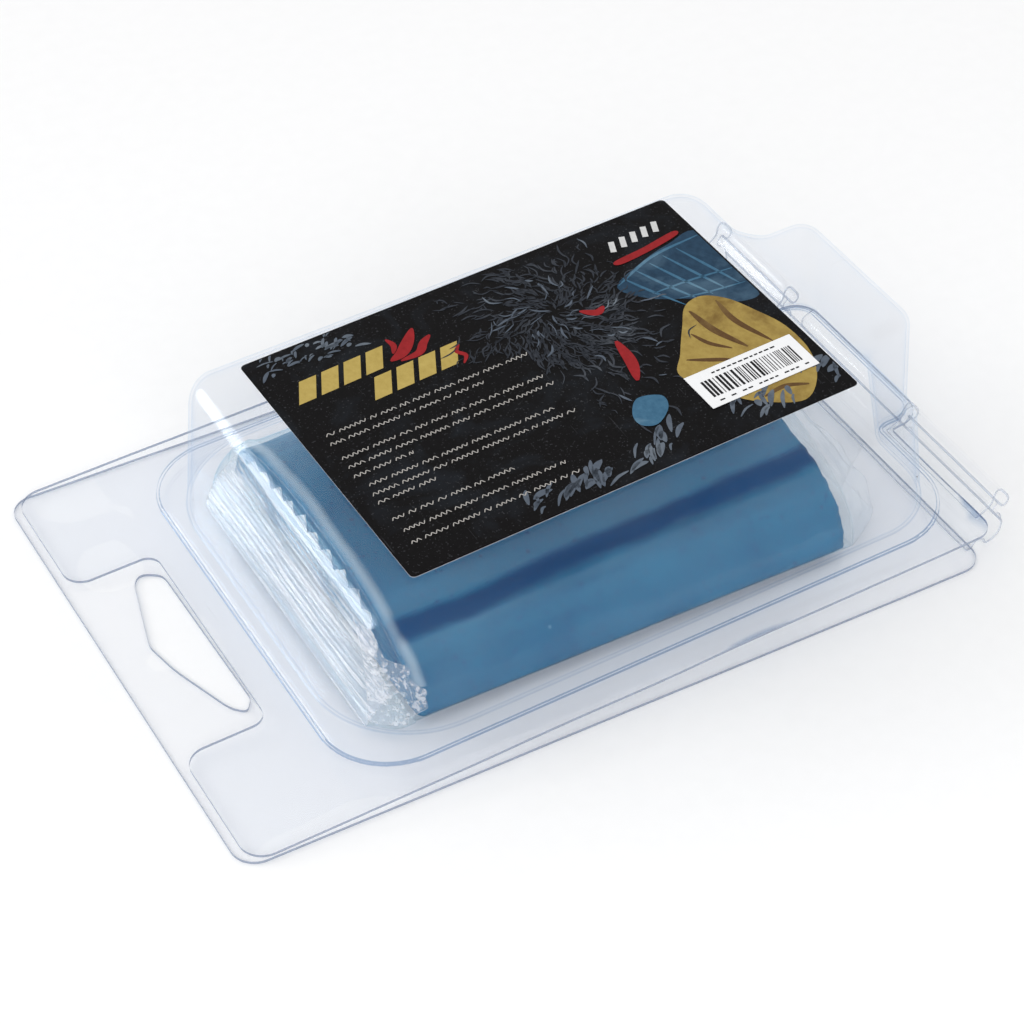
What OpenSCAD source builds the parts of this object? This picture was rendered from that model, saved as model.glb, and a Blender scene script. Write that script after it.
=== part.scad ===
// Wrapped detailing clay bar in a one-piece hinged clear clamshell.
// Millimetres. +X runs from the hang end to the hinge end, +Z is up.
// The origin is the middle of the footprint, on the surface the pack lies on.

/* [Clamshell] */
// Length of the closed clamshell from the hang edge to the hinge
pack_l = 138; // [137:0.5:142]
// Width of both flanges
pack_w = 90; // [88:1:96]
// Thickness of the clear sheet
sheet_t = 0.5; // [0.4:0.05:0.6]
// Corner radius of both flanges
flange_corner_r = 4; // [2:0.5:5]
// Angle that the stacked hinge folds prop the front flange open by
lid_tilt = 2.6; // [2.4:0.05:2.8]
// How far the hang edge of the front flange is set in from the back one
lid_setback = 1.4; // [1:0.1:2]

/* [Tub] */
// Height of the tub above the underside of the front flange
tub_h = 22.9; // [21:0.1:25]
// Length of the step that the tub stands on
tub_l = 110; // [108:0.5:110.5]
// Width of the step
tub_w = 81; // [79:0.5:84]
// Corner radius of the step
tub_corner_r = 12; // [8:0.5:14]
// Height of the step above the flange
step_h = 1; // [0.5:0.1:1.2]
// Width of the ledge between the edge of the step and the walls of the tub
ledge_w = 2.1; // [1.5:0.1:2.5]
// Radius that rounds the top edge of the tub
tub_edge_r = 4.8; // [3:0.1:5]
// How far the hang end wall leans in over its height
hang_draft = 5.4; // [4:0.2:7]
// How far the hinge end wall leans in over its height
hinge_draft = 2.4; // [2:0.2:5]
// How far each side wall leans in over its height
side_draft = 2.7; // [2:0.1:3.4]

/* [End boss] */
// Width of the boss that runs from the tub to the hinge
boss_w = 34; // [26:1:36]
// Height of the boss above the underside of the front flange
boss_h = 21.2; // [16:0.2:21.6]
// How far the boss sits to the far side of the middle
boss_y = 1.6; // [-3:0.1:3]
// Corner radius of the boss
boss_r = 4; // [3:0.5:5]

/* [Hang hole] */
// Length of the straight side of the delta hang hole
hole_l = 35; // [30:1:38]
// Depth of the hang hole from its straight side to its point
hole_d = 9; // [7:0.5:9.5]
// How far the hole sits to the far side of the middle
hole_y = 2.3; // [-3:0.1:3]
// Radius of the hole's corners
hole_corner_r = 1.2; // [0.8:0.1:1.5]
// Length of the notch that clears the hang hole in the front flange
notch_l = 42; // [40:1:46]
// Radius of the notch's inner corners
notch_r = 2.5; // [2:0.5:3]
// Radius of the notch's two corners at the hang edge
mouth_r = 3.5; // [2:0.5:5]

/* [Hinge] */
// Outer radius of the large fold on the back shell
fold_r = 3; // [2.9:0.05:3.05]
// Outer radius of the small bead on the front shell
bead_r = 1.75; // [1.6:0.05:1.8]
// Length of both folds along the hinge
fold_l = 82; // [78:0.5:82]

/* [Clay bar] */
// Length of the clay bar
bar_l = 78; // [72:1:79]
// Width of the clay bar
bar_w = 65; // [60:1:66]
// Height of the clay bar at its crown
bar_h = 14.4; // [12:0.2:15]
// Radius that softens the ends of the clay bar
bar_end_r = 1.5; // [1:0.5:3]

/* [Film wrapper] */
// Thickness of the film wrapper
film_t = 0.2; // [0.15:0.05:0.25]
// Width of the crimped fin at the hang end
fin_w = 57; // [54:1:58]
// Height that the crimped fin reaches above the plug
fin_h = 11; // [8:0.5:12]
// Length of the gathered film at the hinge end
tail_l = 9; // [6:0.5:9.5]

/* [Label] */
// Length of the label
label_l = 80; // [70:1:81]
// Width of the label
label_w = 57; // [50:1:58]
// Thickness of the label
label_t = 0.12; // [0.1:0.01:0.2]
// How far the label sits to the far side of the middle
label_y = 2.5; // [-3:0.1:2.5]
// Angle that the label is stuck on askew
label_turn = 1; // [-1:0.5:1]
// Length of the barcode patch
patch_l = 20; // [16:1:22]
// Width of the barcode patch
patch_w = 8.5; // [7:0.5:10]

/* [Hidden] */

ROUND = 96;
SOFT = 32;
CUT = 1;
SLIT = 0.05;

hang_x = -pack_l / 2;
hinge_x = pack_l / 2;
hole_x = hang_x + 15.8;

// Large fold of the back shell: a C that rests on the table, open to the tub
fold_x = hinge_x - 0.7 - fold_r;
fold_lip = 0.4;
hook_h = 1.8;
flange_end_x = fold_x - 2.8;

// The front shell is drawn flat from its hang edge, then propped open there
lid_x = hang_x + lid_setback;
lid_z = sheet_t + SLIT;
lid_l = flange_end_x - lid_x + 1.1;

// Small bead of the front shell, in the flat frame
bead_x = pack_l - lid_setback - bead_r + 0.2;
bead_z = 2.8;

// Tub in the flat frame
tub_x0 = 19.4;
tub_x1 = tub_x0 + tub_l;
wall_x0 = tub_x0 + ledge_w;
wall_x1 = tub_x1 - ledge_w;
wall_w = tub_w - 2 * ledge_w;
boss_x1 = bead_x + bead_r - 0.1;

// Corner radii of the tub's walls at their foot and at the top edge
hang_foot_r = 18;
hinge_foot_r = 12;
top_r = 6.8;

// Web between the two folds, creased towards the tub
web_t = 0.25;
web_x = hinge_x - 2;
web_low = 2 * fold_r - 0.3;
web_high = 7.6;
web_under_boss = 6.1;
crease_depth = 1.2;

// Raised plug of the back shell, inside the tub's mouth
plug_h = 1;
plug_play = 0.8;
plug_top = plug_h + sheet_t;

// Clay bar, film and seam stack on the plug
seam_w = 9;
film_air = 0.15;
seam_z = plug_top + 0.1;
film_z = seam_z + film_t + SLIT;
bar_z = film_z + film_t + film_air;
bar_x0 = -34;
bar_x1 = bar_x0 + bar_l;
crown_n = 2.3;
fin_y = -1.5;
fin_foot_x = bar_x0 - 7.8;
fin_tip_x = bar_x0 - 2.6;

label_x = 37;
label_corner_r = 1;
patch_x = label_x + 57.6;
patch_y = -14.4;

// Poses everything that belongs to the front shell
module on_lid() {
    translate([lid_x, 0, lid_z]) rotate([0, -lid_tilt, 0]) children();
}

// Extrudes an outline drawn in X and Z across the width, centred on Y = 0
module across(width) {
    translate([0, width / 2, 0]) rotate([90, 0, 0]) linear_extrude(width) children();
}

// Rectangle from x0 to x1, centred on Y = 0, with every corner rounded
module round_rect(x0, x1, width, r) {
    translate([x0 + r, -width / 2]) square([x1 - x0 - 2 * r, width]);
    translate([x0, -width / 2 + r]) square([x1 - x0, width - 2 * r]);
    for (x = [x0 + r, x1 - r], y = [-width / 2 + r, width / 2 - r])
        translate([x, y]) circle(r, $fn = ROUND);
}

// Delta hole: a straight side towards the tub and a blunt point outwards
module delta_hole() {
    hull() {
        for (side = [-1, 1])
            translate([-hole_corner_r, side * (hole_l / 2 - hole_corner_r)])
                circle(hole_corner_r, $fn = SOFT);
        translate([hole_corner_r - hole_d, 0]) circle(hole_corner_r, $fn = SOFT);
    }
}

// What rounds off one corner of the notch's mouth, at the hang edge
module mouth_corner() {
    translate([0, notch_l / 2]) difference() {
        translate([-CUT, -CUT]) square(mouth_r + CUT);
        translate([mouth_r, mouth_r]) circle(mouth_r, $fn = ROUND);
    }
}

// Outline of the front flange, with the notch that clears the hang hole
module front_flange_outline() {
    notch_x = hole_x - lid_x;
    difference() {
        round_rect(0, lid_l, pack_w, flange_corner_r);
        round_rect(-notch_x, notch_x, notch_l, notch_r);
        mouth_corner();
        mirror([0, 1]) mouth_corner();
    }
}

// Step at the foot of the tub; inset shrinks it by one sheet for the inside
module tub_step(inset) {
    translate([0, 0, -inset]) linear_extrude(sheet_t + step_h)
        round_rect(tub_x0 + inset, tub_x1 - inset, tub_w - 2 * inset, tub_corner_r - inset);
}

// One corner of the tub, from its foot to its rounded top edge
module tub_corner(foot_x, foot_r, top_x, side, inset) {
    translate([foot_x, side * (wall_w / 2 - foot_r), -inset])
        cylinder(r = foot_r - inset, h = sheet_t / 10, $fn = 2 * SOFT);
    translate([top_x, side * (wall_w / 2 - side_draft - top_r), tub_h - tub_edge_r])
        rotate_extrude($fn = SOFT) intersection() {
            translate([top_r - tub_edge_r, 0]) circle(tub_edge_r - inset, $fn = SOFT);
            translate([0, -tub_edge_r]) square([top_r, 2 * tub_edge_r]);
        }
}

// Drafted form of the tub above its step
module tub_form(inset) {
    hull() {
        for (side = [-1, 1]) {
            tub_corner(wall_x0 + hang_foot_r, hang_foot_r,
                       wall_x0 + hang_draft + top_r, side, inset);
            tub_corner(wall_x1 - hinge_foot_r, hinge_foot_r,
                       wall_x1 - hinge_draft - top_r, side, inset);
        }
    }
}

// Boss that carries the hinge end of the tub out to the hinge
module boss_form(inset) {
    lean = 0.6;
    hull() {
        for (x = [tub_x1 - 24, boss_x1 - boss_r], side = [-1, 1]) {
            translate([x, boss_y + side * (boss_w / 2 - boss_r), -inset])
                cylinder(r = boss_r - inset, h = sheet_t / 10, $fn = SOFT);
            translate([x, boss_y + side * (boss_w / 2 - boss_r - lean), boss_h - boss_r])
                sphere(boss_r - inset, $fn = SOFT);
        }
    }
}

// Cross-section of the bar, grown by a margin on its crown and its base
function bar_section(margin) = [
    for (a = [0 : 5 : 180])
        [(bar_w / 2 + margin) * sign(cos(a)) * pow(abs(cos(a)), 2 / crown_n),
         (bar_h + margin) * pow(sin(a), 2 / crown_n)],
    [-bar_w / 2 - margin, -margin],
    [bar_w / 2 + margin, -margin]
];

// A length of the bar's section, running along +X from x
module bar_length(x, length, margin) {
    translate([x, 0, bar_z]) rotate([90, 0, 90]) linear_extrude(length)
        polygon(bar_section(margin));
}

module back_shell() {
    plug_x0 = lid_x + tub_x0 + sheet_t + plug_play;
    plug_x1 = lid_x + tub_x1 - sheet_t - plug_play;
    plug_w = tub_w - 2 * (sheet_t + plug_play);
    plug_r = tub_corner_r - sheet_t - plug_play;
    color([0.90, 0.92, 0.95, 0.4]) difference() {
        union() {
            linear_extrude(sheet_t) round_rect(hang_x, flange_end_x, pack_w, flange_corner_r);
            linear_extrude(plug_top) round_rect(plug_x0, plug_x1, plug_w, plug_r);
        }
        translate([0, 0, -CUT]) linear_extrude(CUT + plug_h)
            round_rect(plug_x0 + sheet_t, plug_x1 - sheet_t, plug_w - 2 * sheet_t, plug_r - sheet_t);
        translate([hole_x, hole_y, -CUT]) linear_extrude(2 * CUT + sheet_t) delta_hole();
    }
}

module back_hinge_fold() {
    color([0.84, 0.88, 0.94, 0.5]) across(fold_l) {
        translate([fold_x, fold_r]) difference() {
            circle(fold_r, $fn = ROUND);
            circle(fold_r - sheet_t, $fn = ROUND);
            translate([-2 * fold_r - fold_lip, -2 * fold_r]) square([2 * fold_r, 4 * fold_r]);
        }
        translate([fold_x - fold_lip - sheet_t, 0]) square([sheet_t, hook_h]);
        translate([flange_end_x, 0]) square([sheet_t, hook_h]);
        translate([flange_end_x, hook_h - sheet_t])
            square([fold_x - fold_lip - flange_end_x, sheet_t]);
    }
}

module hinge_web() {
    crease_z = (web_low + web_high) / 2;
    color([0.80, 0.85, 0.92, 0.6]) difference() {
        across(fold_l) polygon([
            [web_x, web_high],
            [web_x - crease_depth, crease_z],
            [web_x, web_low],
            [web_x + web_t, web_low],
            [web_x + web_t - crease_depth, crease_z],
            [web_x + web_t, web_high]
        ]);
        translate([web_x - 2 * crease_depth, boss_y - boss_w / 2 - web_t, web_under_boss])
            cube([3 * crease_depth, boss_w + 2 * web_t, web_high]);
    }
}

module front_shell() {
    color([0.90, 0.92, 0.95, 0.3]) on_lid() difference() {
        union() {
            linear_extrude(sheet_t) front_flange_outline();
            tub_step(0);
            tub_form(0);
            boss_form(0);
        }
        tub_step(sheet_t);
        tub_form(sheet_t);
        boss_form(sheet_t);
    }
}

module front_hinge_bead() {
    color([0.84, 0.88, 0.94, 0.5]) on_lid() difference() {
        across(fold_l) {
            translate([bead_x, bead_z]) difference() {
                circle(bead_r, $fn = ROUND);
                circle(bead_r - sheet_t, $fn = ROUND);
                translate([-2 * bead_r, -2 * bead_r]) square(2 * bead_r);
            }
            polygon([
                [lid_l, 0],
                [lid_l, sheet_t],
                [bead_x - bead_r, bead_z + SLIT],
                [bead_x - bead_r + sheet_t, bead_z + SLIT]
            ]);
        }
        translate([lid_l - CUT, boss_y - boss_w / 2, -CUT])
            cube([bead_x + bead_r - lid_l + 2 * CUT, boss_w, 2 * CUT + bead_z + bead_r]);
    }
}

// Poses what is stuck on the tub's top: X and Y run from the middle of the label
module on_label(height) {
    on_lid() translate([label_x + label_l / 2, label_y, tub_h + height]) rotate(label_turn) children();
}

module label() {
    color([0.10, 0.11, 0.13]) on_label(0) linear_extrude(label_t)
        round_rect(-label_l / 2, label_l / 2, label_w, label_corner_r);
}

module barcode_patch() {
    color([0.93, 0.93, 0.92]) on_label(label_t)
        translate([patch_x - label_x - label_l / 2, patch_y - patch_w / 2 - label_y, 0])
            cube([patch_l, patch_w, label_t / 2]);
}

module clay_bar() {
    color([0.13, 0.42, 0.63]) hull() {
        bar_length(bar_x0 + bar_end_r, bar_l - 2 * bar_end_r, 0);
        bar_length(bar_x0, bar_l, -bar_end_r);
    }
}

module film_sleeve() {
    color([0.88, 0.93, 0.97, 0.3]) difference() {
        bar_length(bar_x0 - film_air, bar_l + 2 * film_air, film_air + film_t);
        bar_length(bar_x0 - CUT, bar_l + 2 * CUT, film_air);
    }
}

module film_back_seam() {
    color([0.85, 0.90, 0.95, 0.4]) translate([bar_x0, -seam_w / 2, seam_z])
        cube([bar_l, seam_w, film_t]);
}

module film_hang_fin() {
    tip_z = plug_top + fin_h;
    color([0.90, 0.93, 0.97, 0.4]) translate([0, fin_y, 0]) across(fin_w) polygon([
        [bar_x0 - 2 * film_air, film_z],
        [fin_foot_x, film_z],
        [fin_tip_x, tip_z],
        [fin_tip_x + 2 * film_t, tip_z],
        [fin_foot_x + 3 * film_t, film_z + film_t],
        [bar_x0 - 2 * film_air, film_z + film_t]
    ]);
}

module film_hinge_tail() {
    neck = 0.3;
    color([0.90, 0.93, 0.97, 0.4]) hull() {
        bar_length(bar_x1 + 2 * film_air, neck, -neck);
        translate([bar_x1 + tail_l, -bar_w * 0.37, film_z]) cube([neck, bar_w * 0.74, bar_h * 0.3]);
    }
}

back_shell();
back_hinge_fold();
hinge_web();
front_shell();
front_hinge_bead();
label();
barcode_patch();
clay_bar();
film_sleeve();
film_back_seam();
film_hang_fin();
film_hinge_tail();
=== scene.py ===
import math

import bpy
import numpy as np
from mathutils import Matrix, Vector
from mathutils.geometry import delaunay_2d_cdt


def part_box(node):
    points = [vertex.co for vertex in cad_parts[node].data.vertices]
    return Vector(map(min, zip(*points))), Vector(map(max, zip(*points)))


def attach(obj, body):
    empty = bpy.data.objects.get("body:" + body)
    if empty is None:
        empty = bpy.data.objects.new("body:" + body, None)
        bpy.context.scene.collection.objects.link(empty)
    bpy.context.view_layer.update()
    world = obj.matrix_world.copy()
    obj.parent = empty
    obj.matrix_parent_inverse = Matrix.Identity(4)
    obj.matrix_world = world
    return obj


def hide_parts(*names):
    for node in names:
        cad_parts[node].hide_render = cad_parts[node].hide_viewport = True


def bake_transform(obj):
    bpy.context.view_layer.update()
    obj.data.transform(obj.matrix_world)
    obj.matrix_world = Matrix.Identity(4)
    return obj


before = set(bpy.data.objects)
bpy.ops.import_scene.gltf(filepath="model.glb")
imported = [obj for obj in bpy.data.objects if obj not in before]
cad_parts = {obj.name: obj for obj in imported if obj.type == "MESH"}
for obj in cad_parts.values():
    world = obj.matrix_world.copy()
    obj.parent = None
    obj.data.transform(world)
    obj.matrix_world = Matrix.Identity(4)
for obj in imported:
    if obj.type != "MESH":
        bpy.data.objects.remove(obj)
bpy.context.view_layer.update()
scene = bpy.context.scene
MM = 0.001

# ---- sizes in mm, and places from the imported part

SHEET, HINGE_SHEET, WEB_SHEET, FILM_PLY = 0.5, 0.42, 0.25, 0.05
LABEL_L, LABEL_W, LABEL_THICK = 80.0, 57.0, 0.12
PATCH_L, PATCH_W = 20.0, 8.5
INK_LEVEL = 0.013
LID_LENGTH = 131.2
CROWN = 2.3


def box_mm(node):
    lo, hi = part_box(node)
    return np.array(lo) * 1000, np.array(hi) * 1000


back_lo, back_hi = box_mm("back_shell")
front_lo = box_mm("front_shell")[0]
fold_hi = box_mm("back_hinge_fold")[1]
bead_hi = box_mm("front_hinge_bead")[1]
label_lo, label_hi = box_mm("label")
patch_lo, patch_hi = box_mm("barcode_patch")
bar_lo, bar_hi = box_mm("clay_bar")
seam_lo, seam_hi = box_mm("film_back_seam")
fin_lo, fin_hi = box_mm("film_hang_fin")
tail_hi = box_mm("film_hinge_tail")[1]
film_foot = box_mm("film_sleeve")[0][2]

# the front shell is drawn in its own frame: u along it, y across it, h over it
TURN = math.radians(1.0)
TILT = math.atan2(label_hi[2] - label_lo[2] - LABEL_THICK, label_hi[0] - label_lo[0])
LID_X = front_lo[0] + SHEET * math.sin(TILT)
LID_Z = front_lo[2]
LID = Matrix.Translation((LID_X * MM, 0, LID_Z * MM)) @ Matrix.Rotation(-TILT, 4, "Y")
FLANGE_END, HALF_W = back_hi[0], back_hi[1]
FOLD_HALF = fold_hi[1]


def to_lid(x, z):
    dx, dz = x - LID_X, z - LID_Z
    return dx * math.cos(TILT) + dz * math.sin(TILT), dz * math.cos(TILT) - dx * math.sin(TILT)


def from_lid(u, h):
    return (LID_X + u * math.cos(TILT) - h * math.sin(TILT),
        LID_Z + u * math.sin(TILT) + h * math.cos(TILT))


label_x, label_y, label_z = (label_lo + label_hi) / 2
label_u, label_h = to_lid(label_x, label_z)
TUB_H = label_h - LABEL_THICK / 2
LABEL_TOP = label_h + LABEL_THICK / 2

# ---- noise


def lattice(ix, iy, iz, seed):
    h = (ix * 374761393 + iy * 668265263 + iz * 2147483647 + seed * 974711) & 0x7FFFFFFF
    h = ((h ^ (h >> 13)) * 1274126177) & 0x7FFFFFFF
    h = ((h ^ (h >> 16)) * 224682251) & 0x7FFFFFFF
    return (h ^ (h >> 11)) / float(0x7FFFFFFF) * 2 - 1


def noise(x, y, z, seed):
    """Smooth value noise in -1..1 on whole arrays."""
    x, y, z = np.broadcast_arrays(np.asarray(x, float), np.asarray(y, float), np.asarray(z, float))
    fx, fy, fz = np.floor(x), np.floor(y), np.floor(z)
    ix, iy, iz = fx.astype(np.int64), fy.astype(np.int64), fz.astype(np.int64)
    sx, sy, sz = [t * t * t * (t * (t * 6 - 15) + 10) for t in (x - fx, y - fy, z - fz)]
    total = np.zeros(x.shape)
    for a in (0, 1):
        for b in (0, 1):
            for c in (0, 1):
                w = (sx if a else 1 - sx) * (sy if b else 1 - sy) * (sz if c else 1 - sz)
                total += w * lattice(ix + a, iy + b, iz + c, seed)
    return total


def fbm(x, y, z, seed, octaves=3):
    total, amp, f = 0.0, 1.0, 1.0
    for k in range(octaves):
        total = total + amp * noise(x * f, y * f, z * f, seed + 17 * k)
        amp *= 0.5
        f *= 2.03
    return total


def creases(a, b, seed, count=7, pitch=9.0):
    """Sharp folds in random directions, as in crushed film: 0 in the flats' middles, up to 1 on a crease."""
    rng = np.random.default_rng(seed)
    total, weight = np.zeros(np.broadcast(a, b).shape), 0.0
    wa = a + 2.2 * noise(a / 11, b / 11, 3.3, seed + 1)
    wb = b + 2.2 * noise(a / 11, b / 11, 7.7, seed + 2)
    for _ in range(count):
        th = rng.uniform(0, math.pi)
        w = rng.uniform(0.55, 1.8)
        s = (wa * math.cos(th) + wb * math.sin(th)) / (pitch * w) + rng.uniform(0, 1)
        total += w * np.abs((s % 1.0) - 0.5) * 2
        weight += w
    return total / weight


def smooth(a, b, t):
    s = np.clip((t - a) / (b - a), 0, 1)
    return s * s * (3 - 2 * s)


def ridge(x, at, width):
    return np.exp(-((x - at) / width) ** 2)


# ---- mesh building


def unit(v):
    return v / np.maximum(np.linalg.norm(v, axis=-1, keepdims=True), 1e-12)


def build(name, verts, faces, mats, index=None, matrix=None, smooth_faces=True):
    me = bpy.data.meshes.new(name)
    v = np.asarray(verts, float) * MM
    if matrix is not None:
        m = np.array(matrix)
        v = v @ m[:3, :3].T + m[:3, 3]
    me.from_pydata(v.tolist(), [], [tuple(int(i) for i in f) for f in faces])
    for m in mats:
        me.materials.append(m)
    if index is not None:
        me.polygons.foreach_set("material_index", np.asarray(index, np.int32))
    me.polygons.foreach_set("use_smooth", np.full(len(me.polygons), smooth_faces))
    me.validate(clean_customdata=False)
    me.update()
    ob = bpy.data.objects.new(name, me)
    scene.collection.objects.link(ob)
    return ob


def loft_faces(rings, around, closed=True):
    faces = []
    for r in range(rings - 1):
        for k in range(around if closed else around - 1):
            k2 = (k + 1) % around
            faces.append(((r + 1) * around + k, (r + 1) * around + k2, r * around + k2, r * around + k))
    return faces


def grid_normals(g):
    """Unit normals of a grid of points (N, M, 3)."""
    return unit(np.cross(np.gradient(g, axis=0), np.gradient(g, axis=1)))


def ring_normals(g):
    """The same for a grid that closes on its first column."""
    return grid_normals(np.concatenate([g, g[:, :1]], 1))[:, :-1]


def sheet_from_grid(g, thick, flip=False):
    """A thin closed sheet about a grid of points: verts, faces, and index, 0 on the skins and 1 on the rim."""
    n = grid_normals(g) * (-1 if flip else 1)
    top, low = [(g + n * t / 2).reshape(-1, 3) for t in (thick, -thick)]
    count = len(top)
    at = np.arange(count).reshape(g.shape[:2])
    turn = [0, 1, 2, 3] if flip else [0, 3, 2, 1]
    faces, index = [], []
    quads = np.stack([at[:-1, :-1], at[:-1, 1:], at[1:, 1:], at[1:, :-1]], 2).reshape(-1, 4)
    for q in quads[:, turn].tolist():
        faces += [q, [i + count for i in reversed(q)]]
        index += [0, 0]
    rim = [*at[0], *at[1:, -1], *at[-1, -2::-1], *at[-2:0:-1, 0]]
    for a, b in zip(rim, rim[1:] + rim[:1]):
        q = (a, b, b + count, a + count)
        faces.append(tuple(reversed(q)) if flip else q)
        index.append(1)
    return np.vstack([top, low]), faces, index


def sd_round_rect(x, y, x0, x1, half, r_a, r_b=None):
    """Signed distance to a rectangle x0..x1, -half..half, with corner radius r_a at x0 and r_b at x1."""
    mid, hx = (x0 + x1) / 2, (x1 - x0) / 2
    r = np.where(x < mid, r_a, r_a if r_b is None else r_b)
    qx, qy = np.abs(x - mid) - hx + r, np.abs(y) - half + r
    return np.minimum(np.maximum(qx, qy), 0) + np.hypot(np.maximum(qx, 0), np.maximum(qy, 0)) - r


def both(a, b, r):
    """Smooth intersection of two distances, with a fillet of radius r."""
    return np.minimum(-r, np.maximum(a, b)) + np.hypot(np.maximum(r + a, 0), np.maximum(r + b, 0))


def either(a, b, r):
    """Smooth union of two distances."""
    return -both(-a, -b, r)


def gradient(field, p, e=0.02):
    g = np.zeros_like(p)
    for k, d in enumerate(np.eye(3) * e):
        g[:, k] = (field(*(p + d).T) - field(*(p - d).T)) / (2 * e)
    return g


def axis_steps(*spans):
    """Grid lines: spans of (from, to, step) joined end to end."""
    out = []
    for a, b, s in spans:
        n = max(1, int(round((b - a) / s)))
        out += list(a + (b - a) * np.arange(n) / n)
    return np.array(out + [spans[-1][1]])


def surface_net(field, xs, ys, zs):
    """Quads that follow field = 0 on a grid, pulled exactly onto it."""
    v = field(*np.meshgrid(xs, ys, zs, indexing="ij"))
    axes = (xs, ys, zs)
    cells = tuple(s - 1 for s in v.shape)
    total, count, quads = np.zeros(cells + (3,)), np.zeros(cells), []
    for ax in range(3):
        lo = np.take(v, range(0, v.shape[ax] - 1), ax)
        hi = np.take(v, range(1, v.shape[ax]), ax)
        idx = np.argwhere((lo < 0) != (hi < 0))
        lo, hi = lo[tuple(idx.T)], hi[tuple(idx.T)]
        pos = np.stack([axes[k][idx[:, k]] for k in range(3)], 1)
        pos[:, ax] += lo / (lo - hi) * (axes[ax][idx[:, ax] + 1] - axes[ax][idx[:, ax]])
        across = [(1, 2), (2, 0), (0, 1)][ax]
        corners, ok = [], np.ones(len(idx), bool)
        for steps in ((0, 0), (1, 0), (1, 1), (0, 1)):
            c = idx.copy()
            c[:, across] -= steps
            good = np.all((c >= 0) & (c < np.array(cells)), axis=1)
            ok &= good
            np.add.at(total, tuple(c[good].T), pos[good])
            np.add.at(count, tuple(c[good].T), 1)
            corners.append(c)
        q = np.stack([np.ravel_multi_index(tuple(c[ok].T), cells) for c in corners], 1)
        quads.append(np.where(lo[ok][:, None] < 0, q, q[:, ::-1]))
    used = np.flatnonzero(count.ravel() > 0)
    lookup = np.full(count.size, -1)
    lookup[used] = np.arange(len(used))
    p = total.reshape(-1, 3)[used] / count.ravel()[used][:, None]
    for _ in range(4):
        g = gradient(field, p)
        p = p - g * (field(*p.T) / np.maximum((g * g).sum(1), 1e-6))[:, None]
    return p, lookup[np.vstack(quads)]


def loops_of(faces):
    """Boundary loops of a set of faces, each as an ordered list of vertices."""
    seen = {}
    for f in faces:
        for a, b in zip(f, f[1:] + f[:1]):
            if (b, a) in seen:
                del seen[(b, a)]
            else:
                seen[(a, b)] = True
    after = {}
    for a, b in seen:
        after.setdefault(a, []).append(b)

    def follow(a):
        b = after[a].pop()
        if not after[a]:
            del after[a]
        return b

    loops = []
    while after:
        loop = [next(iter(after))]
        at = follow(loop[0])
        while at != loop[0]:
            loop.append(at)
            at = follow(at)
        loops.append(loop)
    return loops


def inside(poly, pts):
    """Whether each point is inside a closed outline."""
    x, y = pts.T
    hit = np.zeros(len(pts), bool)
    for (a, b), (c, d) in zip(poly, np.roll(poly, -1, 0)):
        if b != d:
            hit ^= ((b > y) != (d > y)) & (x < (c - a) * (y - b) / (d - b) + a)
    return hit


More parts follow.
